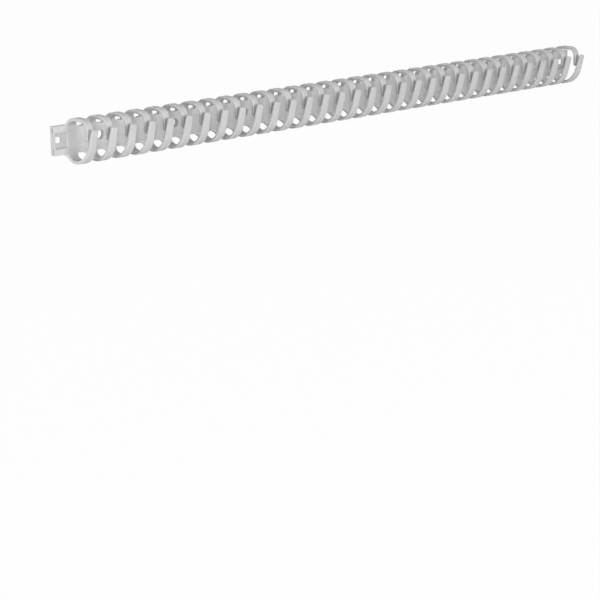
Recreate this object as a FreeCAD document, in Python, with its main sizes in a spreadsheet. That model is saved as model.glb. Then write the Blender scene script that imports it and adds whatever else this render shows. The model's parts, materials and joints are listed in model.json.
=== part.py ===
"""Flexible wiring duct: a flat back strip with rings of curled fingers along both of its edges.

Frame: +X runs along the duct, the fingers curl towards -Y, the mounting face lies on y = 0 and
+Z is up. The origin is on the mounting face, at the axis of the first fixing hole.
Every ring is one upper finger and one lower finger. The lower finger's tip laps outside the
upper one's. The strip bends at a thin skin between one fixing hole's segment and the next.
"""
import FreeCAD, Part
import math
import os

SHEET = "Sizes"

# alias, value, meaning; millimetres and degrees
DRIVING_SIZES = [
    ("SegmentCount", 8, "bending segments along the duct"),
    ("RingPitch", 15.25, "from one ring of fingers to the next"),
    ("DuctHeight", 30, "outside height over the curled fingers"),
    ("UpperDepth", 25.7, "from the mounting face to the front of the upper fingers"),
    ("ShoulderDepth", 11.5, "from the mounting face to the end of a finger's root arc"),
    ("RootDepth", 2, "from the mounting face to the outside of a root at the strip's edge"),
    ("UpperRadius", 6.8, "outside radius of the upper finger's front corner"),
    ("LowerRadius", 17, "outside radius of the lower finger's sweep to the front"),
    ("WebHeight", 19.2, "height of the back strip"),
    ("WebThickness", 4, "thickness of the back strip"),
    ("SkinThickness", 1.2, "front skin left where the strip bends"),
    ("ReliefWidth", 2, "width of the relief grooves across the back"),
    ("DipDepth", 1.8, "depth of the dips in the strip's upper edge between the rings"),
    ("DipWidth", 6.4, "length of a dip along the duct"),
    ("FingerThickness", 2.1, "wall of a finger"),
    ("RootWidth", 7, "width of a finger at the mounting face"),
    ("TaperDepth", 20, "depth over which a finger narrows to its waist"),
    ("UpperWaist", 4.8, "width of the upper finger at the taper depth"),
    ("UpperTipWidth", 4.2, "width of the upper finger at its tip"),
    ("LowerWaist", 6.4, "width of the lower finger at the taper depth"),
    ("LowerTipWidth", 4.4, "width of the lower finger at its tip"),
    ("RootSink", 2.5, "depth of the root stubs inside the strip"),
    ("FlexRise", 2.1, "height of the flexing line above the strip's edge"),
    ("HingeClearance", 0.05, "radial play of a bead in its groove"),
    ("LapGap", 1.2, "gap between the upper tip and the lower finger"),
    ("LowerLean", 16.5, "lean of the lower finger's straight part"),
    ("UpperTipLevel", 0.3, "height of the upper finger's tip above the middle"),
    ("LowerTipLevel", 9.7, "height of the lower finger's tip above the middle"),
    ("TipRound", 1.7, "corner radius of the finger tips"),
    ("HoleDiameter", 6.2, "fixing hole"),
    ("TabLength", 10.125, "end tab beyond the outermost root"),
    ("RecessLength", 10.3, "coupling recess along the duct"),
    ("RecessHeight", 10.8, "coupling recess across the strip"),
    ("RecessFloor", 0.7, "floor left behind the coupling recess"),
    ("EndWall", 0.8, "wall between the recess and the end face"),
    ("LatchLength", 3.8, "latch window along the duct"),
    ("LatchHeight", 4.1, "latch window across the strip"),
    ("LatchInset", 5.1, "from the end face to the middle of the latch window"),
    ("NotchDepth", 1.5, "depth of the keying notches in the end face"),
    ("NotchWidth", 0.8, "width of the keying notches"),
    ("NotchHeight", 3, "length of the keying notches"),
    ("NotchLevel", 6.9, "height of a notch's middle from the strip's middle"),
    ("NotchInset", 1.5, "from the strip's front face to the middle of a notch"),
    ("CoreDepth", 1.8, "depth of the coring pockets in the back"),
    ("CoreHeight", 13, "height of the coring pockets"),
    ("CoreWall", 1.5, "wall between a pocket and the groove or hole beside it"),
]

RINGS_PER_SEGMENT = 4
# Ring centres of a segment, in pitches from its fixing hole.
RING_OFFSETS = (-1.5, -0.5, 0.5, 1.5)
# Relief grooves inside a segment, in pitches from its fixing hole.
GROOVE_OFFSETS = (-1, 1)
# How far a cutter runs past the face that it opens.
OVERRUN = 1

V = FreeCAD.Vector


def make_sheet(doc):
    sheet = doc.addObject("Spreadsheet::Sheet", SHEET)
    for row, (alias, value, meaning) in enumerate(DRIVING_SIZES, start=1):
        sheet.set("A%d" % row, alias)
        sheet.set("B%d" % row, str(value))
        sheet.set("C%d" % row, meaning)
        sheet.setAlias("B%d" % row, alias)
    doc.recompute()
    return sheet


def bind(item, target, formula):
    words = formula.replace("(", " ( ").replace(")", " ) ").split()
    names = {entry[0] for entry in DRIVING_SIZES}
    item.setExpression(target, " ".join(SHEET + "." + word if word in names else word for word in words))


def box(doc, name, corner, size):
    item = doc.addObject("Part::Box", name)
    for target, formula in zip(("Length", "Width", "Height"), size):
        bind(item, target, formula)
    for axis, formula in zip("xyz", corner):
        bind(item, "Placement.Base." + axis, formula)
    return item


def upright_cylinder(doc, name, x, y, radius, height):
    """A cylinder along Z from the strip's lower edge."""
    item = doc.addObject("Part::Cylinder", name)
    bind(item, "Radius", radius)
    bind(item, "Height", height)
    for axis, formula in zip("xyz", (x, y, "- WebHeight / 2")):
        bind(item, "Placement.Base." + axis, formula)
    return item


def hole_cutter(doc, name, x):
    item = doc.addObject("Part::Cylinder", name)
    item.Placement = FreeCAD.Placement(V(), FreeCAD.Rotation(V(1, 0, 0), 90))
    bind(item, "Radius", "HoleDiameter / 2")
    bind(item, "Height", "WebThickness + %d" % (2 * OVERRUN))
    bind(item, "Placement.Base.x", x)
    item.Placement.Base.y = OVERRUN
    return item


def multi(doc, kind, name, items):
    item = doc.addObject(kind, name)
    item.Shapes = items
    return item


def cut(doc, name, base, tool):
    item = doc.addObject("Part::Cut", name)
    item.Base = base
    item.Tool = tool
    return item


class Finger:
    """One finger; side is +1 for the upper one and -1 for the lower one.

    Its side view is laid out in depth, forwards from the mounting face, and level, outwards from
    the middle of the strip: a root arc, a short flat, a front arc and a straight part to the tip.
    """

    def __init__(self, sheet, side):
        self.sheet = sheet
        self.side = side
        self.crown = sheet.DuctHeight / 2
        upper = side > 0
        self.front_radius = sheet.UpperRadius if upper else sheet.LowerRadius
        self.lean = 0.0 if upper else math.radians(sheet.LowerLean)
        self.waist = sheet.UpperWaist if upper else sheet.LowerWaist
        self.tip_width = sheet.UpperTipWidth if upper else sheet.LowerTipWidth
        self.tip_level = side * (sheet.UpperTipLevel if upper else sheet.LowerTipLevel)
        self.front = sheet.UpperDepth - sheet.UpperRadius if upper else self.lower_front()
        self.shoulder = min(sheet.ShoulderDepth, self.front)
        rise = self.crown - sheet.WebHeight / 2
        run = self.shoulder - sheet.RootDepth
        self.root_radius = (run ** 2 + rise ** 2) / (2 * rise)
        middle = self.root_radius - sheet.FingerThickness / 2
        flex_level = sheet.WebHeight / 2 + sheet.FlexRise
        self.flex_angle = math.acos((flex_level - self.crown + self.root_radius) / middle)
        self.flex_line = self.root_point(sheet.FingerThickness / 2, self.flex_angle)

    def lower_front(self):
        """Depth of the front arc's centre that leaves the lap gap in front of the upper tip."""
        sheet = self.sheet
        inside = sheet.UpperDepth + sheet.LapGap + sheet.FingerThickness / math.cos(self.lean)
        straight_start = self.crown - sheet.LowerRadius * (1 - math.sin(self.lean))
        climb = sheet.UpperTipLevel + straight_start
        return inside - climb * math.tan(self.lean) - sheet.LowerRadius * math.cos(self.lean)

    def place(self, depth, level, x=0):
        return V(x, -depth, self.side * level)

    def root_point(self, offset, angle):
        """A point of the root arc, that far inside the outer face; angle is back from the crown."""
        radius = self.root_radius - offset
        level = self.crown - self.root_radius + radius * math.cos(angle)
        return self.place(self.shoulder - radius * math.sin(angle), level)

    def front_point(self, offset, angle):
        """A point of the front arc, that far inside the outer face; angle is forwards from the crown."""
        radius = self.front_radius - offset
        level = self.crown - self.front_radius + radius * math.cos(angle)
        return self.place(self.front + radius * math.sin(angle), level)

    def foot_angle(self, offset):
        """Where the root arc meets the bottom of its stub, inside the strip."""
        foot = self.sheet.WebHeight / 2 - self.sheet.RootSink
        return math.acos((foot - self.crown + self.root_radius) / (self.root_radius - offset))

    def root_arc(self, offset, start, end):
        points = [self.root_point(offset, angle) for angle in (start, (start + end) / 2, end)]
        return Part.Arc(*points).toShape()

    def face_path(self, offset):
        """Edges of one face of the wall, from the flexing line to past the tip."""
        swing = math.pi / 2 - self.lean
        front_end = self.front_point(offset, swing)
        past_tip = self.place(math.sin(self.lean), -math.cos(self.lean)) * self.sheet.DuctHeight
        edges = [self.root_arc(offset, self.flex_angle, 0)]
        if self.front > self.shoulder:
            edges.append(Part.makeLine(self.root_point(offset, 0), self.front_point(offset, 0)))
        front_points = [self.front_point(offset, angle) for angle in (0, swing / 2, swing)]
        edges.append(Part.Arc(*front_points).toShape())
        edges.append(Part.makeLine(front_end, front_end + past_tip))
        return edges, self.root_point(offset, self.flex_angle), front_end + past_tip

    def across(self, edges):
        """Extrudes a closed side view over the root's width, about x = 0."""
        width = self.sheet.RootWidth
        face = Part.Face(Part.Wire(Part.__sortEdges__(edges)))
        face.translate(V(-width / 2, 0, 0))
        return face.extrude(V(width, 0, 0))

    def rod(self, radius):
        """A cylinder along X about the flexing line."""
        width = self.sheet.RootWidth
        return Part.makeCylinder(radius, width, self.flex_line + V(-width / 2, 0, 0), V(1, 0, 0))

    def plan_outline(self):
        """The finger's narrowing plan, from the mounting face to the taper depth."""
        sheet = self.sheet
        root = sheet.RootWidth / 2
        waist = self.waist / 2
        taper_end = -sheet.TaperDepth
        corners = [V(root, 0, 0), V(waist, taper_end, 0), V(-waist, taper_end, 0), V(-root, 0, 0)]
        face = Part.Face(Part.makePolygon(corners + corners[:1]))
        return face.extrude(V(0, 0, self.side * sheet.DuctHeight))

    def front_outline(self):
        """The finger's front view beyond the taper depth, narrowing to a rounded tip."""
        sheet = self.sheet
        tip_z = self.side * self.tip_level
        crown_z = self.side * self.crown
        waist = self.waist / 2
        tip = self.tip_width / 2
        near = -sheet.TaperDepth
        corners = [V(waist, near, crown_z), V(tip, near, tip_z),
                   V(-tip, near, tip_z), V(-waist, near, crown_z)]
        prism = Part.Face(Part.makePolygon(corners + corners[:1])).extrude(V(0, -2 * sheet.DuctHeight, 0))
        tip_edges = [edge for edge in prism.Edges
                     if all(abs(vertex.Z - tip_z) < 1e-6 for vertex in edge.Vertexes)
                     and abs(edge.Vertexes[0].X - edge.Vertexes[-1].X) < 1e-6]
        return prism.makeFillet(min(sheet.TipRound, tip * 0.95), tip_edges)

    def stub(self):
        """The root that stays on the strip, up to the flexing line's groove."""
        sheet = self.sheet
        wall = sheet.FingerThickness
        outer = self.root_arc(0, self.foot_angle(0), self.flex_angle)
        inner = self.root_arc(wall, self.foot_angle(wall), self.flex_angle)
        foot_ends = [self.root_point(offset, self.foot_angle(offset)) for offset in (0, wall)]
        top_ends = [self.root_point(offset, self.flex_angle) for offset in (0, wall)]
        foot = Part.makeLine(*foot_ends)
        top = Part.makeLine(*top_ends)
        blank = self.across([outer, top, inner, foot])
        groove = self.rod(wall / 2 + sheet.HingeClearance)
        return blank.common(self.plan_outline()).cut(groove)

    def solid(self):
        """The finger itself, from its flexing bead to its tip."""
        outer, outer_start, outer_end = self.face_path(0)
        inner, inner_start, inner_end = self.face_path(self.sheet.FingerThickness)
        ends = [Part.makeLine(outer_start, inner_start), Part.makeLine(outer_end, inner_end)]
        blank = self.across(outer + inner + ends).fuse(self.rod(self.sheet.FingerThickness / 2))
        return blank.common(self.plan_outline().fuse(self.front_outline())).removeSplitter()


def segment_centre(index):
    return "%d * RingPitch" % (index * RINGS_PER_SEGMENT)


def segment_end(index, side):
    """The bending line at one side of a segment."""
    return "%g * RingPitch" % (index * RINGS_PER_SEGMENT + side * RINGS_PER_SEGMENT / 2)


def tab_face(index, side):
    """The end face of the outermost segment at that side."""
    sign = "+" if side > 0 else "-"
    ring = "%g * RingPitch" % (index * RINGS_PER_SEGMENT + RING_OFFSETS[-1] * side)
    return "%s %s RootWidth / 2 %s TabLength" % (ring, sign, sign)


def sideways(start, side, distance, length):
    """Low X of a box that begins the given distance inwards from an end face."""
    if side > 0:
        return "%s - ( %s ) - ( %s )" % (start, distance, length)
    return "%s + ( %s )" % (start, distance)


def end_cutters(doc, name, index, side):
    """Coupling recess, latch window and keying notches of an end tab."""
    face = tab_face(index, side)
    recess_x = sideways(face, side, "EndWall", "RecessLength")
    recess = box(doc, name + "_recess", (recess_x, "- WebThickness - %d" % OVERRUN, "- RecessHeight / 2"),
                 ("RecessLength", "WebThickness + %d - RecessFloor" % OVERRUN, "RecessHeight"))
    latch_x = sideways(face, side, "LatchInset - LatchLength / 2", "LatchLength")
    latch = box(doc, name + "_latch", (latch_x, "- WebThickness / 2", "- LatchHeight / 2"),
                ("LatchLength", "WebThickness", "LatchHeight"))
    cutters = [recess, latch]
    notch_x = sideways(face, side, "- %d" % OVERRUN, "NotchDepth + %d" % OVERRUN)
    for level, sign in (("upper", "+"), ("lower", "-")):
        corner = (notch_x, "- WebThickness + NotchInset - NotchWidth / 2",
                  "%s NotchLevel - NotchHeight / 2" % sign)
        size = ("NotchDepth + %d" % OVERRUN, "NotchWidth", "NotchHeight")
        cutters.append(box(doc, "%s_%s_notch" % (name, level), corner, size))
    return cutters


def groove_cutter(doc, name, x):
    """A relief groove across the back, down to the front skin."""
    corner = (x + " - ReliefWidth / 2", "- WebThickness + SkinThickness", "- WebHeight / 2 - %d" % OVERRUN)
    size = ("ReliefWidth", "WebThickness - SkinThickness + %d" % OVERRUN, "WebHeight + %d" % (2 * OVERRUN))
    return box(doc, name, corner, size)


def dip_cutters(doc, name, index, ends):
    """Dips in the upper edge between the rings, and half a dip at each bending line."""
    cutters = []
    rim = range(-RINGS_PER_SEGMENT // 2, RINGS_PER_SEGMENT // 2 + 1)
    offsets = [offset for offset in rim if offset * 2 not in [side * RINGS_PER_SEGMENT for side in ends]]
    for number, offset in enumerate(offsets, start=1):
        low = "%g * RingPitch - DipWidth / 2" % (index * RINGS_PER_SEGMENT + offset)
        corner = (low, "- WebThickness - %d" % OVERRUN, "WebHeight / 2 - DipDepth")
        size = ("DipWidth", "WebThickness + %d" % (2 * OVERRUN), "DipDepth + %d" % OVERRUN)
        cutters.append(box(doc, "%s_dip_%d" % (name, number), corner, size))
    return cutters


def core_cutters(doc, name, index, ends):
    """Coring pockets in the back: one each side of the hole and one beyond each relief groove."""
    cutters = []
    centre = segment_centre(index)
    near = "HoleDiameter / 2 + CoreWall"
    groove = "ReliefWidth / 2 + CoreWall"
    spans = [("inner", near, "RingPitch - ( %s )" % groove, (-1, 1))]
    outer_sides = [side for side in (-1, 1) if side not in ends]
    spans.append(("outer", "RingPitch + %s" % groove, "2 * RingPitch - ( %s )" % groove, outer_sides))
    for label, start, stop, sides in spans:
        for side in sides:
            low = "%s + %s" % (centre, start) if side > 0 else "%s - ( %s )" % (centre, stop)
            corner = (low, "- CoreDepth", "- CoreHeight / 2")
            size = ("%s - ( %s )" % (stop, start), "CoreDepth + %d" % OVERRUN, "CoreHeight")
            which = "right" if side > 0 else "left"
            cutters.append(box(doc, "%s_%s_%s_core" % (name, which, label), corner, size))
    return cutters


def base_segment(doc, sheet, index, stubs):
    """One segment of the back strip, with the root stubs of its rings."""
    name = "base_segment_%d" % (index + 1)
    first = index == 0
    last = index == int(sheet.SegmentCount) - 1
    left = tab_face(index, -1) if first else segment_end(index, -1)
    right = tab_face(index, 1) if last else segment_end(index, 1)
    ends = [side for side, here in ((-1, first), (1, last)) if here]
    plate = box(doc, name + "_plate", (left, "- WebThickness", "- WebHeight / 2"),
                ("%s - ( %s )" % (right, left), "WebThickness", "WebHeight"))
    roots = doc.addObject("Part::Feature", name + "_roots")
    pitch = sheet.RingPitch
    places = [V((index * RINGS_PER_SEGMENT + offset) * pitch, 0, 0) for offset in RING_OFFSETS]
    roots.Shape = Part.makeCompound([stub.translated(place) for place in places for stub in stubs])
    strip = multi(doc, "Part::MultiFuse", name + "_strip", [plate, roots])
    cutters = [hole_cutter(doc, name + "_hole", segment_centre(index))]
    for number, offset in enumerate(GROOVE_OFFSETS, start=1):
        x = "%g * RingPitch" % (index * RINGS_PER_SEGMENT + offset)
        cutters.append(groove_cutter(doc, "%s_groove_%d" % (name, number), x))
    cutters += core_cutters(doc, name, index, ends)
    cutters += dip_cutters(doc, name, index, ends)
    bend_y = "- WebThickness + SkinThickness / 2"
    if first:
        cutters += end_cutters(doc, name + "_left", index, -1)
    else:
        cutters.append(groove_cutter(doc, name + "_left_relief", left))
        socket = "SkinThickness / 2 + HingeClearance"
        cutters.append(upright_cylinder(doc, name + "_socket", left, bend_y, socket, "WebHeight"))
    if last:
        cutters += end_cutters(doc, name + "_right", index, 1)
    else:
        cutters.append(groove_cutter(doc, name + "_right_relief", right))
    body = cut(doc, name + "_cut", strip, multi(doc, "Part::MultiFuse", name + "_cutters", cutters))
    if last:
        return name, body
    bead = upright_cylinder(doc, name + "_bead", right, bend_y, "SkinThickness / 2", "WebHeight - DipDepth")
    return name, multi(doc, "Part::MultiFuse", name + "_with_bead", [body, bead])


def finger_group(doc, sheet, index, word, finger):
    """The fingers along one edge of one segment, as separate solids in one node."""
    item = doc.addObject("Part::Feature", "%s_fingers_%d" % (word, index + 1))
    pitch = sheet.RingPitch
    places = [V((index * RINGS_PER_SEGMENT + offset) * pitch, 0, 0) for offset in RING_OFFSETS]
    item.Shape = Part.makeCompound([finger.translated(place) for place in places])
    return item.Name, item


def check(doc, nodes):
    for item in doc.Objects:
        if {"Invalid", "Error"} & set(item.State):
            raise RuntimeError("%s failed to build" % item.Name)
    for name, item in nodes:
        if item.Shape.isNull() or not item.Shape.isValid():
            raise RuntimeError("%s has no valid shape" % name)


def main():
    doc = FreeCAD.newDocument("wiring_duct")
    sheet = make_sheet(doc)
    upper = Finger(sheet, 1)
    lower = Finger(sheet, -1)
    stubs = [upper.stub(), lower.stub()]
    upper_solid = upper.solid()
    lower_solid = lower.solid()
    nodes = []
    for index in range(int(sheet.SegmentCount)):
        nodes.append(base_segment(doc, sheet, index, stubs))
        nodes.append(finger_group(doc, sheet, index, "upper", upper_solid))
        nodes.append(finger_group(doc, sheet, index, "lower", lower_solid))
    doc.recompute()
    for name, item in nodes:
        item.Label = name
    check(doc, nodes)
    os.makedirs("parts", exist_ok=True)
    for name, item in nodes:
        item.Shape.exportStep("parts/%s.step" % name)
        box_now = item.Shape.BoundBox
        print(name, len(item.Shape.Solids), round(item.Shape.Volume, 2),
              [round(v, 3) for v in (box_now.XMin, box_now.XMax, box_now.YMin, box_now.YMax,
                                     box_now.ZMin, box_now.ZMax)])
    for word, finger in (("upper", upper), ("lower", lower)):
        print(word, "flexing line y %.4f z %.4f" % (finger.flex_line.y, finger.flex_line.z))


main()
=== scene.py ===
"""Finish, light and view of a flexible open wiring duct.

A flat back strip with fixing holes carries two rows of curled fingers, which close around the
cables. Sizes are in metres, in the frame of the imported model: X runs along the duct, the fingers
curl towards -Y and Z is up.
"""
import json
import math

import bmesh
import bpy
from bpy.props import FloatProperty, FloatVectorProperty, IntProperty, PointerProperty
from mathutils import Matrix, Vector

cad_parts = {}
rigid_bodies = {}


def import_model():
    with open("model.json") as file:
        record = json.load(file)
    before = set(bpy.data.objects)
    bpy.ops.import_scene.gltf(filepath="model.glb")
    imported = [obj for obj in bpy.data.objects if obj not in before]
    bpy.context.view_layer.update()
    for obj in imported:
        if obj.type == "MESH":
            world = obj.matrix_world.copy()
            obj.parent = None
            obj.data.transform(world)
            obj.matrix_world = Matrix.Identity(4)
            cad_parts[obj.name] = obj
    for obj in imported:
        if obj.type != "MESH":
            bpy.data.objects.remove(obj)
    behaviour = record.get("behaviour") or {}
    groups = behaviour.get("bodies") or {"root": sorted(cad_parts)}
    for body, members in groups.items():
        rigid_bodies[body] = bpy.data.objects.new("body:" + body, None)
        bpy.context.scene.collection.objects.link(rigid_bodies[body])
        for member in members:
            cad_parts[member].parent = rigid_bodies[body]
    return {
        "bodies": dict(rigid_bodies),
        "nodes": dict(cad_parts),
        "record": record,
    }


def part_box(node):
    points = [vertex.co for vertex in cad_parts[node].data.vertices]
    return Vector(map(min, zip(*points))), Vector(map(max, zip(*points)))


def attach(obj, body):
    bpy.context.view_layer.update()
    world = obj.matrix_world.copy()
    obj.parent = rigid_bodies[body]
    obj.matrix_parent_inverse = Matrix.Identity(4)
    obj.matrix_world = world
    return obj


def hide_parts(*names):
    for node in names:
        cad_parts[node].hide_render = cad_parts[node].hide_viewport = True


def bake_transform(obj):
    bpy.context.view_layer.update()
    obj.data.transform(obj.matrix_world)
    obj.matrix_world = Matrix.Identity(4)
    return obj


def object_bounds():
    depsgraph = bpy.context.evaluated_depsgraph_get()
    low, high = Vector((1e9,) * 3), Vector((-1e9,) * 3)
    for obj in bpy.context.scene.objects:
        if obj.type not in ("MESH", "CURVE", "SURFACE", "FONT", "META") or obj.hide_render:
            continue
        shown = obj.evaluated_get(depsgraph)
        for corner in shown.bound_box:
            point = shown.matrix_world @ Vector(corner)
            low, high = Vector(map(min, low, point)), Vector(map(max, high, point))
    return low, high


bl_info = {
    "name": "Wiring duct",
    "version": (1, 0, 0),
    "blender": (4, 5, 0),
    "location": "3D View > Sidebar > Duct",
    "description": "Makes the finished pieces of a flexible open wiring duct around its packed model",
    "category": "Object",
}

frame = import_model()
CAD_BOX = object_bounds()

SEGMENTS = len([name for name in frame["bodies"] if name.startswith("segment_")])
RINGS_PER_SEGMENT = 4

WHITE = (1.0, 1.0, 1.0, 1.0)
# Nearly all of a noise texture's values lie between these two.
NOISE_LOW = 0.35
NOISE_HIGH = 0.65
PLASTIC_IOR = 1.49
# Patches of sheen and waves of the moulding, against the patches of colour.
SHEEN_SCALE = 3.7
FLOW_SCALE = 2.0

# Points of a packed or a trimmed strip that lie closer than this are one.
PACKED_WELD = 0.000001
TRIMMED_WELD = 0.000002
# How far inside the strip's faces it is trimmed, so that no two faces lie on each other.
TRIM_SKIM = 0.00002
# Faces that turn by less than the first angle are one flat, and edges past the second are rounded.
FLAT_ANGLE = math.radians(1.0)
SHARP_ANGLE = math.radians(40.0)
BEVEL_STEPS = 3

# A finger's section: faces round each corner, the largest corner as a share of the half width or
# wall, and the narrow lead-in beside each corner as a share of its radius.
CORNER_STEPS = 3
CORNER_LIMIT = 0.98
LEAD_SHARE = 0.25
# Rows of faces: the fewest along a finger, those round its tip, and where the last plain one lies
# from the end, in tip radii.
LEAST_STATIONS = 12
TIP_STEPS = 9
TIP_CLEAR = 1.05

# Places of the lamps from the duct's middle, and their diameters.
SIDE_LIGHT_PLACE = Vector((-1.42, -0.36, 0.06))
SIDE_LIGHT_SIZE = 0.35
FRONT_LIGHT_PLACE = Vector((-0.30, -1.50, 0.16))
FRONT_LIGHT_SIZE = 0.8
FLOOR_ROUGHNESS = 0.9
FLOOR_SPECULAR = 0.1
# Width of the camera's sensor in millimetres, and the nearest and farthest that it sees.
SENSOR_WIDTH = 36.0
NEAREST = 0.05
FARTHEST = 20.0


def hole_places():
    """Where the fixing holes' axes leave the mounting face, one for each segment."""
    return [Vector(mount["pos_m"]) for mount in frame["record"]["mounts"] if mount["kind"] == "bore"]


HOLES = hole_places()
SEGMENT_LENGTH = HOLES[1].x - HOLES[0].x
UPPER_LOW, UPPER_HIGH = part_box("upper_fingers_1")
LOWER_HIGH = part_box("lower_fingers_1")[1]


def length(name, value, description):
    """A size in metres."""
    return FloatProperty(name=name, default=value, min=0.0, unit="LENGTH", precision=5,
                         description=description)


def colour(name, value, description):
    """A plain colour."""
    return FloatVectorProperty(name=name, subtype="COLOR", size=3, min=0.0, max=1.0,
                               default=value, description=description)


def factor(name, value, description):
    """A share from 0 to 1."""
    return FloatProperty(name=name, subtype="FACTOR", default=value, min=0.0, max=1.0,
                         description=description)


class DuctSizes(bpy.types.PropertyGroup):
    """Sizes of the finished strip and fingers."""
    pitch: length("Ring pitch", SEGMENT_LENGTH / RINGS_PER_SEGMENT, "From one ring of fingers to the next")
    rings: IntProperty(name="Rings", default=RINGS_PER_SEGMENT, min=1, description="Rings on each segment")
    crown: length("Crown", UPPER_HIGH.z, "Height of a finger's outside above the duct's middle")
    strip_half: length("Strip half height", 0.0096, "From the duct's middle to the strip's edge")
    strip_depth: length("Strip thickness", 0.004, "Thickness of the back strip")
    root_depth: length("Root depth", 0.002, "Outside of a root from the mounting face, at the strip's edge")
    shoulder: length("Shoulder depth", 0.0115, "End of a root arc from the mounting face")
    root_sink: length("Root sink", 0.002, "How far a root reaches into the strip")
    upper_gusset: length("Upper gusset", 0.0007, "Widening of each side of an upper root at the strip")
    lower_gusset: length("Lower gusset", 0.0023, "Widening of each side of a lower root at the strip")
    gusset_rise: length("Gusset rise", 0.0034, "How far up a root its gussets reach")
    upper_depth: length("Upper depth", -UPPER_LOW.y, "Front of the upper fingers from the mounting face")
    upper_radius: length("Upper corner radius", 0.0068, "Outside radius of an upper finger's front corner")
    lower_radius: length("Lower sweep radius", 0.017, "Outside radius of a lower finger's sweep")
    lower_lean: FloatProperty(name="Lower lean", subtype="ANGLE", default=math.radians(16.5),
                              description="Lean of a lower finger's straight part")
    lap_gap: length("Lap gap", 0.0012, "Gap between the upper tip and the lower finger")
    wall: length("Finger wall", 0.0021, "Thickness of a finger")
    root_width: length("Root width", 0.007, "Width of a finger at the mounting face")
    taper_depth: length("Taper depth", 0.020, "Depth over which a finger narrows to its waist")
    upper_waist: length("Upper waist", 0.0048, "Width of an upper finger at the taper depth")
    upper_tip: length("Upper tip width", 0.0042, "Width of an upper finger at its tip")
    lower_waist: length("Lower waist", 0.0064, "Width of a lower finger at the taper depth")
    lower_tip: length("Lower tip width", 0.0044, "Width of a lower finger at its tip")
    upper_tip_level: length("Upper tip level", UPPER_LOW.z, "Upper tip above the duct's middle")
    lower_tip_level: length("Lower tip level", LOWER_HIGH.z, "Lower tip above the duct's middle")
    tip_round: length("Tip radius", 0.0017, "Corner radius of the tips")
    corner: length("Corner radius", 0.00038, "Rounding of a finger's long edges")
    edge_bevel: length("Strip bevel", 0.00022, "Rounding of the strip's edges")
    station: length("Station step", 0.0007, "Distance between the rows of faces along a finger")


class DuctFinish(bpy.types.PropertyGroup):
    """Colour and surface of the moulded plastic."""
    base: colour("Plastic", (0.670, 0.670, 0.675), "Body colour of the moulding")
    tint: colour("Plastic, darker", (0.625, 0.625, 0.635), "Colour of the duller patches")
    roughness_low: factor("Least roughness", 0.40, "Roughness of the smoothest patches")
    roughness_high: factor("Most roughness", 0.54, "Roughness of the dullest patches")
    patch_scale: FloatProperty(name="Patch scale", default=55.0, description="Patches per metre")
    grain_scale: FloatProperty(name="Grain scale", default=2600.0, description="Grains per metre")
    grain_depth: length("Grain depth", 0.000012, "Height of the mould's fine grain")
    flow_depth: length("Flow depth", 0.00004, "Height of the faint unevenness of the moulding")


class DuctStage(bpy.types.PropertyGroup):
    """Floor, light and view."""
    azimuth: FloatProperty(name="Azimuth", subtype="ANGLE", default=math.radians(-40.957),
                           description="View direction round the duct")
    elevation: FloatProperty(name="Elevation", subtype="ANGLE", default=math.radians(16.069),
                             description="View direction above the horizon")
    roll: FloatProperty(name="Roll", subtype="ANGLE", default=math.radians(-0.412),
                        description="Turn of the camera about its own axis")
    distance: length("Distance", 1.33582, "Camera from the point that it looks at")
    target: FloatVectorProperty(name="Target", subtype="XYZ", unit="LENGTH", size=3,
                                default=(0.175553, 0.0, -0.147952),
                                description="Point that the camera looks at")
    lens: FloatProperty(name="Lens", default=108.02, description="Focal length in millimetres")
    floor_size: length("Floor size", 8.0, "Side of the floor")
    floor_colour: colour("Floor", (0.86, 0.86, 0.86), "Colour of the floor")
    floor_white: factor("Floor white", 0.97, "Share of plain white that the camera sees on the floor")
    sky: FloatProperty(name="Sky", default=0.38, min=0.0, description="Strength of the even light")
    side_power: FloatProperty(name="Side light", subtype="POWER", default=9.5,
                              description="Power of the light from the near end")
    front_power: FloatProperty(name="Front light", subtype="POWER", default=14.5,
                               description="Power of the light from the front")


# ---------------------------------------------------------------- plastic

def new_node(tree, kind, **inputs):
    """A node with values on the sockets that are named, an underscore standing for a space."""
    node = tree.nodes.new(kind)
    for name, value in inputs.items():
        node.inputs[name.replace("_", " ")].default_value = value
    return node


def remap(tree, source, low, high):
    """Maps a noise value from its usual spread to the range from low to high."""
    node = new_node(tree, "ShaderNodeMapRange", From_Min=NOISE_LOW, From_Max=NOISE_HIGH,
                    To_Min=low, To_Max=high)
    tree.links.new(source, node.inputs["Value"])
    return node.outputs["Result"]


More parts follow.
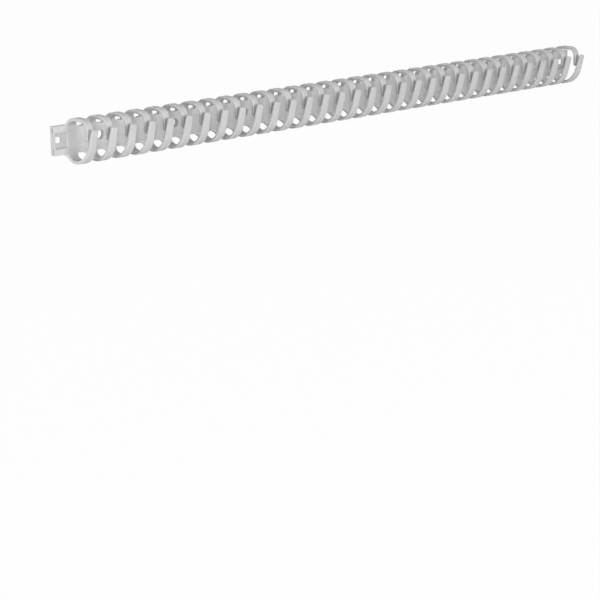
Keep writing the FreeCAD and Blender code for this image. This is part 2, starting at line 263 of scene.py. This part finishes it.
def moulded_plastic(finish):
    """Satin light grey plastic with a fine mould grain and faint, uneven patches."""
    found = bpy.data.materials.get("moulded_plastic")
    if found:
        return found
    material = bpy.data.materials.new("moulded_plastic")
    material.use_nodes = True
    tree = material.node_tree
    shader = tree.nodes["Principled BSDF"]
    shader.inputs["IOR"].default_value = PLASTIC_IOR
    place = tree.nodes.new("ShaderNodeTexCoord").outputs["Object"]

    patches = new_node(tree, "ShaderNodeTexNoise", Scale=finish.patch_scale, Detail=4.0, Roughness=0.55)
    tree.links.new(place, patches.inputs["Vector"])
    share = remap(tree, patches.outputs["Fac"], 0.0, 1.0)
    mix = tree.nodes.new("ShaderNodeMix")
    mix.data_type = "RGBA"
    mix.inputs["A"].default_value = (*finish.base, 1.0)
    mix.inputs["B"].default_value = (*finish.tint, 1.0)
    tree.links.new(share, mix.inputs["Factor"])
    tree.links.new(mix.outputs["Result"], shader.inputs["Base Color"])

    sheen = new_node(tree, "ShaderNodeTexNoise", Scale=finish.patch_scale * SHEEN_SCALE, Detail=3.0)
    tree.links.new(place, sheen.inputs["Vector"])
    rough = remap(tree, sheen.outputs["Fac"], finish.roughness_low, finish.roughness_high)
    tree.links.new(rough, shader.inputs["Roughness"])

    grain = new_node(tree, "ShaderNodeTexNoise", Scale=finish.grain_scale, Detail=2.0)
    tree.links.new(place, grain.inputs["Vector"])
    grain_bump = new_node(tree, "ShaderNodeBump", Strength=1.0, Distance=finish.grain_depth)
    tree.links.new(grain.outputs["Fac"], grain_bump.inputs["Height"])
    flow = new_node(tree, "ShaderNodeTexNoise", Scale=finish.patch_scale * FLOW_SCALE, Detail=1.0)
    tree.links.new(place, flow.inputs["Vector"])
    flow_bump = new_node(tree, "ShaderNodeBump", Strength=1.0, Distance=finish.flow_depth)
    tree.links.new(flow.outputs["Fac"], flow_bump.inputs["Height"])
    tree.links.new(grain_bump.outputs["Normal"], flow_bump.inputs["Normal"])
    tree.links.new(flow_bump.outputs["Normal"], shader.inputs["Normal"])
    return material


# ---------------------------------------------------------------- mesh helpers

def link_mesh(name, mesh):
    """A new object of that mesh, in the scene."""
    piece = bpy.data.objects.new(name, mesh)
    bpy.context.scene.collection.objects.link(piece)
    return piece


def settled(piece):
    """Turns a piece's evaluated shape into its own plain mesh, with no modifier left."""
    graph = bpy.context.evaluated_depsgraph_get()
    mesh = bpy.data.meshes.new_from_object(piece.evaluated_get(graph))
    piece.modifiers.clear()
    piece.data = mesh
    mesh.name = piece.name
    return piece


def smooth(mesh):
    """Shades all of a mesh's faces smoothly."""
    for face in mesh.polygons:
        face.use_smooth = True


# ---------------------------------------------------------------- back strip

def plain_strip_copy(index):
    """A copy of a segment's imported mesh, root stubs and all, with its doubled points merged."""
    source = frame["nodes"]["base_segment_%d" % index]
    shape = bmesh.new()
    shape.from_mesh(source.data)
    bmesh.ops.remove_doubles(shape, verts=shape.verts, dist=PACKED_WELD)
    mesh = bpy.data.meshes.new("back_strip_%d" % index)
    shape.to_mesh(mesh)
    shape.free()
    return link_mesh(mesh.name, mesh)


def trimming_block(sizes):
    """The space that the strip keeps: all its length, a hair inside its front face and edges."""
    reach = 2 * SEGMENT_LENGTH * SEGMENTS
    low = Vector((-reach, -sizes.strip_depth + TRIM_SKIM, -sizes.strip_half + TRIM_SKIM))
    high = Vector((reach, sizes.strip_depth, sizes.strip_half - TRIM_SKIM))
    shape = bmesh.new()
    middle = Matrix.Translation((low + high) / 2)
    bmesh.ops.create_cube(shape, size=1.0, matrix=middle @ Matrix.Diagonal((*(high - low), 1.0)))
    mesh = bpy.data.meshes.new("trimming_block")
    shape.to_mesh(mesh)
    shape.free()
    return link_mesh("trimming_block", mesh)


def finish_strip(piece, block, sizes, material):
    """Cuts off the root stubs, joins the flats, rounds the edges and gives the strip its plastic."""
    trim = piece.modifiers.new("trim", "BOOLEAN")
    trim.operation = "INTERSECT"
    trim.solver = "EXACT"
    trim.object = block
    settled(piece)
    shape = bmesh.new()
    shape.from_mesh(piece.data)
    bmesh.ops.remove_doubles(shape, verts=shape.verts, dist=TRIMMED_WELD)
    bmesh.ops.dissolve_limit(shape, angle_limit=FLAT_ANGLE, verts=shape.verts, edges=shape.edges)
    shape.to_mesh(piece.data)
    shape.free()
    bevel = piece.modifiers.new("edges", "BEVEL")
    bevel.width = sizes.edge_bevel
    bevel.segments = BEVEL_STEPS
    bevel.limit_method = "ANGLE"
    bevel.angle_limit = SHARP_ANGLE
    bevel.use_clamp_overlap = True
    bevel.harden_normals = True
    smooth(piece.data)
    settled(piece)
    piece.data.materials.clear()
    piece.data.materials.append(material)


# ---------------------------------------------------------------- fingers
# The side is 1 for the fingers of the strip's upper edge and -1 for those of its lower edge.

def tip_level(sizes, side):
    """Level of a finger's tip, outwards from the duct's middle."""
    return sizes.upper_tip_level if side > 0 else -sizes.lower_tip_level


class FingerPath:
    """The middle line of one finger's wall, seen from the side, as depth and level.

    Depth runs forwards from the mounting face and level outwards from the duct's middle.
    """

    def __init__(self, sizes, side):
        upper = side > 0
        self.half = sizes.wall / 2
        self.crown = sizes.crown
        self.lean = 0.0 if upper else sizes.lower_lean
        radius = sizes.upper_radius if upper else sizes.lower_radius
        self.front_radius = radius - self.half
        self.front = sizes.upper_depth - radius if upper else self.lower_front(sizes)
        self.shoulder = min(sizes.shoulder, self.front)
        rise = sizes.crown - sizes.strip_half
        run = self.shoulder - sizes.root_depth
        outer_root = (run ** 2 + rise ** 2) / (2 * rise)
        self.root_radius = outer_root - self.half
        foot = sizes.strip_half - sizes.root_sink
        self.foot_angle = math.acos((foot - sizes.crown + outer_root) / self.root_radius)
        self.swing = math.pi / 2 - self.lean
        straight_level = sizes.crown - radius + self.front_radius * math.cos(self.swing)
        straight = (straight_level - tip_level(sizes, side)) / math.cos(self.lean)
        self.spans = (self.root_radius * self.foot_angle, self.front - self.shoulder,
                      self.front_radius * self.swing, straight)

    def lower_front(self, sizes):
        """Depth of the front arc's centre that leaves the lap gap in front of the upper tip."""
        inside = sizes.upper_depth + sizes.lap_gap + sizes.wall / math.cos(sizes.lower_lean)
        straight_start = sizes.crown - sizes.lower_radius * (1 - math.sin(sizes.lower_lean))
        climb = sizes.upper_tip_level + straight_start
        return inside - climb * math.tan(sizes.lower_lean) - sizes.lower_radius * math.cos(sizes.lower_lean)

    def length(self):
        """Distance along the middle line from the foot to the tip."""
        return sum(self.spans)

    def at(self, travel):
        """Middle point and outward normal at that distance from the foot, as (depth, level) pairs."""
        root, flat, arc, _ = self.spans
        if travel < root:
            angle = travel / self.root_radius - self.foot_angle
            centre = (self.shoulder, self.crown - self.half - self.root_radius)
            radius = self.root_radius
        elif travel < root + flat:
            return (self.shoulder + travel - root, self.crown - self.half), (0.0, 1.0)
        else:
            angle = min((travel - root - flat) / self.front_radius, self.swing)
            centre = (self.front, self.crown - self.half - self.front_radius)
            radius = self.front_radius
        normal = (math.sin(angle), math.cos(angle))
        beyond = max(0.0, travel - root - flat - arc)
        depth = centre[0] + radius * normal[0] + beyond * normal[1]
        level = centre[1] + radius * normal[1] - beyond * normal[0]
        return (depth, level), normal


def direction(degrees):
    """A unit step at that angle, turned from across the finger to outwards."""
    angle = math.radians(degrees)
    return Vector((math.cos(angle), math.sin(angle)))


def rounded_section(half_width, half_wall, corner):
    """A section's outline as (across, outwards) pairs, with short straight lead-ins at its corners."""
    corner = min(corner, half_width * CORNER_LIMIT, half_wall * CORNER_LIMIT)
    lead = LEAD_SHARE * corner
    outline = []
    for across, outwards, start in ((1, 1, 0), (-1, 1, 90), (-1, -1, 180), (1, -1, 270)):
        centre = Vector((across * (half_width - corner), outwards * (half_wall - corner)))
        arc = [centre + corner * direction(start + 90 * step / CORNER_STEPS)
               for step in range(CORNER_STEPS + 1)]
        outline.append(arc[0] + lead * direction(start - 90))
        outline += arc
        outline.append(arc[-1] + lead * direction(start + 180))
    return outline


def finger_width(sizes, side, depth, level):
    """Width of a finger: it narrows to its waist with depth, and from there to its tip with level."""
    waist = sizes.upper_waist if side > 0 else sizes.lower_waist
    tip = sizes.upper_tip if side > 0 else sizes.lower_tip
    if depth < sizes.taper_depth:
        return sizes.root_width + (waist - sizes.root_width) * depth / sizes.taper_depth
    share = (sizes.crown - level) / (sizes.crown - tip_level(sizes, side))
    return waist + (tip - waist) * share


def gusset_width(sizes, side, beyond_strip):
    """What a root's gusset adds to each side, at that distance above the strip's edge."""
    share = min(1.0, max(0.0, beyond_strip) / sizes.gusset_rise)
    gusset = sizes.upper_gusset if side > 0 else sizes.lower_gusset
    return gusset * (1 - math.sqrt(1 - (1 - share) ** 2))


def finger_stops(sizes, total):
    """Places of the rows of faces along a finger of that length, closer together round its tip."""
    count = max(LEAST_STATIONS, round(total / sizes.station))
    even = [total * number / count for number in range(count)]
    along = [stop for stop in even if stop < total - sizes.tip_round * TIP_CLEAR]
    quarter = [math.pi / 2 * step / TIP_STEPS for step in range(TIP_STEPS + 1)]
    return along + [total - sizes.tip_round * (1 - math.sin(angle)) for angle in quarter]


def drawn_in(radius, left):
    """How far an end rounded to that radius draws in, where that length is left to the tip."""
    if left >= radius:
        return 0.0
    return radius - math.sqrt(max(0.0, radius ** 2 - (radius - left) ** 2))


def finger_mesh(sizes, word, side):
    """One finger about x = 0, swept from inside the strip to its rounded tip."""
    path = FingerPath(sizes, side)
    total = path.length()
    shape = bmesh.new()
    rows = []
    for stop in finger_stops(sizes, total):
        (depth, level), normal = path.at(stop)
        half_width = finger_width(sizes, side, depth, level) / 2
        if depth < path.shoulder:
            half_width += gusset_width(sizes, side, level - sizes.strip_half)
        left = total - stop
        half_width -= drawn_in(sizes.tip_round, left)
        half_wall = sizes.wall / 2 - drawn_in(sizes.corner, left)
        row = []
        for across, outwards in rounded_section(half_width, half_wall, sizes.corner):
            place = (across, -(depth + outwards * normal[0]), side * (level + outwards * normal[1]))
            row.append(shape.verts.new(place))
        rows.append(row)
    for before, after in zip(rows, rows[1:]):
        for number in range(len(before)):
            ahead = (number + 1) % len(before)
            shape.faces.new((before[number], before[ahead], after[ahead], after[number]))
    shape.faces.new(rows[0])
    shape.faces.new(rows[-1])
    bmesh.ops.recalc_face_normals(shape, faces=shape.faces)
    mesh = bpy.data.meshes.new("%s_finger" % word)
    shape.to_mesh(mesh)
    shape.free()
    smooth(mesh)
    return mesh


def row_tree():
    """Geometry Nodes: one finger, repeated at an even pitch along X."""
    tree = bpy.data.node_groups.get("finger_row")
    if tree:
        return tree
    tree = bpy.data.node_groups.new("finger_row", "GeometryNodeTree")
    tree.is_modifier = True
    sockets = (("Finger", "Geometry"), ("Count", "Int"), ("Pitch", "Float"), ("First", "Float"),
               ("Plastic", "Material"))
    for name, kind in sockets:
        tree.interface.new_socket(name, in_out="INPUT", socket_type="NodeSocket" + kind)
    tree.interface.new_socket("Row", in_out="OUTPUT", socket_type="NodeSocketGeometry")
    start = tree.nodes.new("NodeGroupInput")
    end = tree.nodes.new("NodeGroupOutput")
    first = tree.nodes.new("ShaderNodeCombineXYZ")
    step = tree.nodes.new("ShaderNodeCombineXYZ")
    line = tree.nodes.new("GeometryNodeMeshLine")
    line.mode = "OFFSET"
    line.count_mode = "TOTAL"
    copies = tree.nodes.new("GeometryNodeInstanceOnPoints")
    real = tree.nodes.new("GeometryNodeRealizeInstances")
    paint = tree.nodes.new("GeometryNodeSetMaterial")
    link = tree.links.new
    link(start.outputs["First"], first.inputs["X"])
    link(start.outputs["Pitch"], step.inputs["X"])
    link(start.outputs["Count"], line.inputs["Count"])
    link(first.outputs["Vector"], line.inputs["Start Location"])
    link(step.outputs["Vector"], line.inputs["Offset"])
    link(line.outputs["Mesh"], copies.inputs["Points"])
    link(start.outputs["Finger"], copies.inputs["Instance"])
    link(copies.outputs["Instances"], real.inputs["Geometry"])
    link(real.outputs["Geometry"], paint.inputs["Geometry"])
    link(start.outputs["Plastic"], paint.inputs["Material"])
    link(paint.outputs["Geometry"], end.inputs["Row"])
    return tree


def finger_row(name, mesh, sizes, middle, material):
    """The fingers along one edge of one segment, as one plain mesh."""
    piece = link_mesh(name, mesh.copy())
    repeat = piece.modifiers.new("row", "NODES")
    repeat.node_group = row_tree()
    values = {"Count": sizes.rings, "Pitch": sizes.pitch,
              "First": middle - sizes.pitch * (sizes.rings - 1) / 2, "Plastic": material}
    for socket in repeat.node_group.interface.items_tree:
        if socket.name in values:
            repeat[socket.identifier] = values[socket.name]
    return settled(piece)


def make_row(context, word, side):
    """One row of fingers: a piece for each segment."""
    sizes = context.scene.duct_sizes
    material = moulded_plastic(context.scene.duct_finish)
    mesh = finger_mesh(sizes, word, side)
    for index in range(1, SEGMENTS + 1):
        piece = finger_row("%s_finger_row_%d" % (word, index), mesh, sizes, HOLES[index - 1].x, material)
        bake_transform(piece)
        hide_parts("%s_fingers_%d" % (word, index))
    bpy.data.meshes.remove(mesh)


# ---------------------------------------------------------------- operators

class DUCT_OT_back_strips(bpy.types.Operator):
    """Make the finished back strip, one piece for each segment"""
    bl_idname = "duct.back_strips"
    bl_label = "Back strips"

    def execute(self, context):
        sizes = context.scene.duct_sizes
        material = moulded_plastic(context.scene.duct_finish)
        block = trimming_block(sizes)
        for index in range(1, SEGMENTS + 1):
            piece = plain_strip_copy(index)
            finish_strip(piece, block, sizes, material)
            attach(piece, "segment_%d" % index)
            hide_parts("base_segment_%d" % index)
        bpy.data.objects.remove(block)
        return {"FINISHED"}


class DUCT_OT_upper_fingers(bpy.types.Operator):
    """Make the upper fingers, one row for each segment"""
    bl_idname = "duct.upper_fingers"
    bl_label = "Upper fingers"

    def execute(self, context):
        make_row(context, "upper", 1)
        return {"FINISHED"}


class DUCT_OT_lower_fingers(bpy.types.Operator):
    """Make the lower fingers, one row for each segment"""
    bl_idname = "duct.lower_fingers"
    bl_label = "Lower fingers"

    def execute(self, context):
        make_row(context, "lower", -1)
        return {"FINISHED"}


def white_for_camera(tree, plain, white, white_share):
    """Mixes white over a plain shader, for camera, glossy and transmission rays only."""
    path = tree.nodes.new("ShaderNodeLightPath")
    seen = path.outputs["Is Camera Ray"]
    for ray in ("Is Glossy Ray", "Is Transmission Ray"):
        join = tree.nodes.new("ShaderNodeMath")
        join.operation = "MAXIMUM"
        tree.links.new(seen, join.inputs[0])
        tree.links.new(path.outputs[ray], join.inputs[1])
        seen = join.outputs["Value"]
    share = tree.nodes.new("ShaderNodeMath")
    share.operation = "MULTIPLY"
    share.inputs[1].default_value = white_share
    tree.links.new(seen, share.inputs[0])
    mix = tree.nodes.new("ShaderNodeMixShader")
    tree.links.new(share.outputs["Value"], mix.inputs["Fac"])
    tree.links.new(plain, mix.inputs[1])
    tree.links.new(white, mix.inputs[2])
    return mix.outputs["Shader"]


class DUCT_OT_stage(bpy.types.Operator):
    """Set the floor, the light and the camera"""
    bl_idname = "duct.stage"
    bl_label = "Stage"

    def execute(self, context):
        stage = context.scene.duct_stage
        self.floor(stage)
        self.sky(context.scene, stage)
        middle = (CAD_BOX[0] + CAD_BOX[1]) / 2
        self.lamp("side_light", middle, SIDE_LIGHT_PLACE, SIDE_LIGHT_SIZE, stage.side_power)
        self.lamp("front_light", middle, FRONT_LIGHT_PLACE, FRONT_LIGHT_SIZE, stage.front_power)
        self.camera(context.scene, stage)
        context.scene.view_settings.view_transform = "Standard"
        return {"FINISHED"}

    def floor(self, stage):
        """A plain pale floor under the duct, white where the camera sees it."""
        half = stage.floor_size / 2
        level = CAD_BOX[0].z
        mesh = bpy.data.meshes.new("floor")
        corners = [(-half, -half, level), (half, -half, level), (half, half, level), (-half, half, level)]
        mesh.from_pydata(corners, [], [(0, 1, 2, 3)])
        floor = link_mesh("floor", mesh)
        material = bpy.data.materials.new("pale_floor")
        material.use_nodes = True
        tree = material.node_tree
        shader = tree.nodes["Principled BSDF"]
        shader.inputs["Base Color"].default_value = (*stage.floor_colour, 1.0)
        shader.inputs["Roughness"].default_value = FLOOR_ROUGHNESS
        shader.inputs["Specular IOR Level"].default_value = FLOOR_SPECULAR
        white = new_node(tree, "ShaderNodeEmission", Color=WHITE, Strength=1.0)
        seen = white_for_camera(tree, shader.outputs["BSDF"], white.outputs["Emission"],
                                stage.floor_white)
        tree.links.new(seen, tree.nodes["Material Output"].inputs["Surface"])
        mesh.materials.append(material)

    def sky(self, scene, stage):
        """Even light from all round, with a white background."""
        world = bpy.data.worlds.new("studio")
        world.use_nodes = True
        scene.world = world
        tree = world.node_tree
        even = tree.nodes["Background"]
        even.inputs["Color"].default_value = WHITE
        even.inputs["Strength"].default_value = stage.sky
        white = new_node(tree, "ShaderNodeBackground", Color=WHITE, Strength=1.0)
        seen = white_for_camera(tree, even.outputs["Background"], white.outputs["Background"], 1.0)
        tree.links.new(seen, tree.nodes["World Output"].inputs["Surface"])

    def lamp(self, name, middle, offset, size, power):
        """A round lamp at that offset from the duct's middle, turned towards it."""
        light = bpy.data.lights.new(name, "AREA")
        light.shape = "DISK"
        light.size = size
        light.energy = power
        lamp = bpy.data.objects.new(name, light)
        lamp.location = middle + offset
        lamp.rotation_mode = "QUATERNION"
        lamp.rotation_quaternion = (-offset).to_track_quat("-Z", "Y")
        bpy.context.scene.collection.objects.link(lamp)

    def camera(self, scene, stage):
        """A camera that looks at the target from its azimuth, elevation and distance."""
        data = bpy.data.cameras.new("view")
        data.sensor_width = SENSOR_WIDTH
        data.lens = stage.lens
        data.clip_start = NEAREST
        data.clip_end = FARTHEST
        camera = bpy.data.objects.new("view", data)
        turn, rise = stage.azimuth, stage.elevation
        back = Vector((math.sin(turn) * math.cos(rise), -math.cos(turn) * math.cos(rise), math.sin(rise)))
        right = Vector((math.cos(turn), math.sin(turn), 0.0))
        up = back.cross(right)
        rolled_right = right * math.cos(stage.roll) + up * math.sin(stage.roll)
        rolled_up = up * math.cos(stage.roll) - right * math.sin(stage.roll)
        pose = Matrix((rolled_right, rolled_up, back)).transposed().to_4x4()
        pose.translation = Vector(stage.target) + back * stage.distance
        camera.matrix_world = pose
        scene.collection.objects.link(camera)
        scene.camera = camera


class DUCT_PT_panel(bpy.types.Panel):
    """Lists the duct's pieces and their sizes"""
    bl_idname = "DUCT_PT_panel"
    bl_label = "Wiring duct"
    bl_space_type = "VIEW_3D"
    bl_region_type = "UI"
    bl_category = "Duct"

    def draw(self, context):
        layout = self.layout
        for group in (context.scene.duct_sizes, context.scene.duct_finish, context.scene.duct_stage):
            box = layout.box()
            for name in group.__annotations__:
                box.prop(group, name)
        for operator in OPERATORS:
            layout.operator(operator.bl_idname)


GROUPS = (DuctSizes, DuctFinish, DuctStage)
OPERATORS = (DUCT_OT_back_strips, DUCT_OT_upper_fingers, DUCT_OT_lower_fingers, DUCT_OT_stage)
CLASSES = GROUPS + OPERATORS + (DUCT_PT_panel,)


def register():
    for item in CLASSES:
        bpy.utils.register_class(item)
    bpy.types.Scene.duct_sizes = PointerProperty(type=DuctSizes)
    bpy.types.Scene.duct_finish = PointerProperty(type=DuctFinish)
    bpy.types.Scene.duct_stage = PointerProperty(type=DuctStage)


def unregister():
    del bpy.types.Scene.duct_stage
    del bpy.types.Scene.duct_finish
    del bpy.types.Scene.duct_sizes
    for item in reversed(CLASSES):
        bpy.utils.unregister_class(item)


def main():
    register()
    bpy.ops.duct.back_strips()
    bpy.ops.duct.upper_fingers()
    bpy.ops.duct.lower_fingers()
    bpy.ops.duct.stage()


if __name__ == "__main__":
    main()
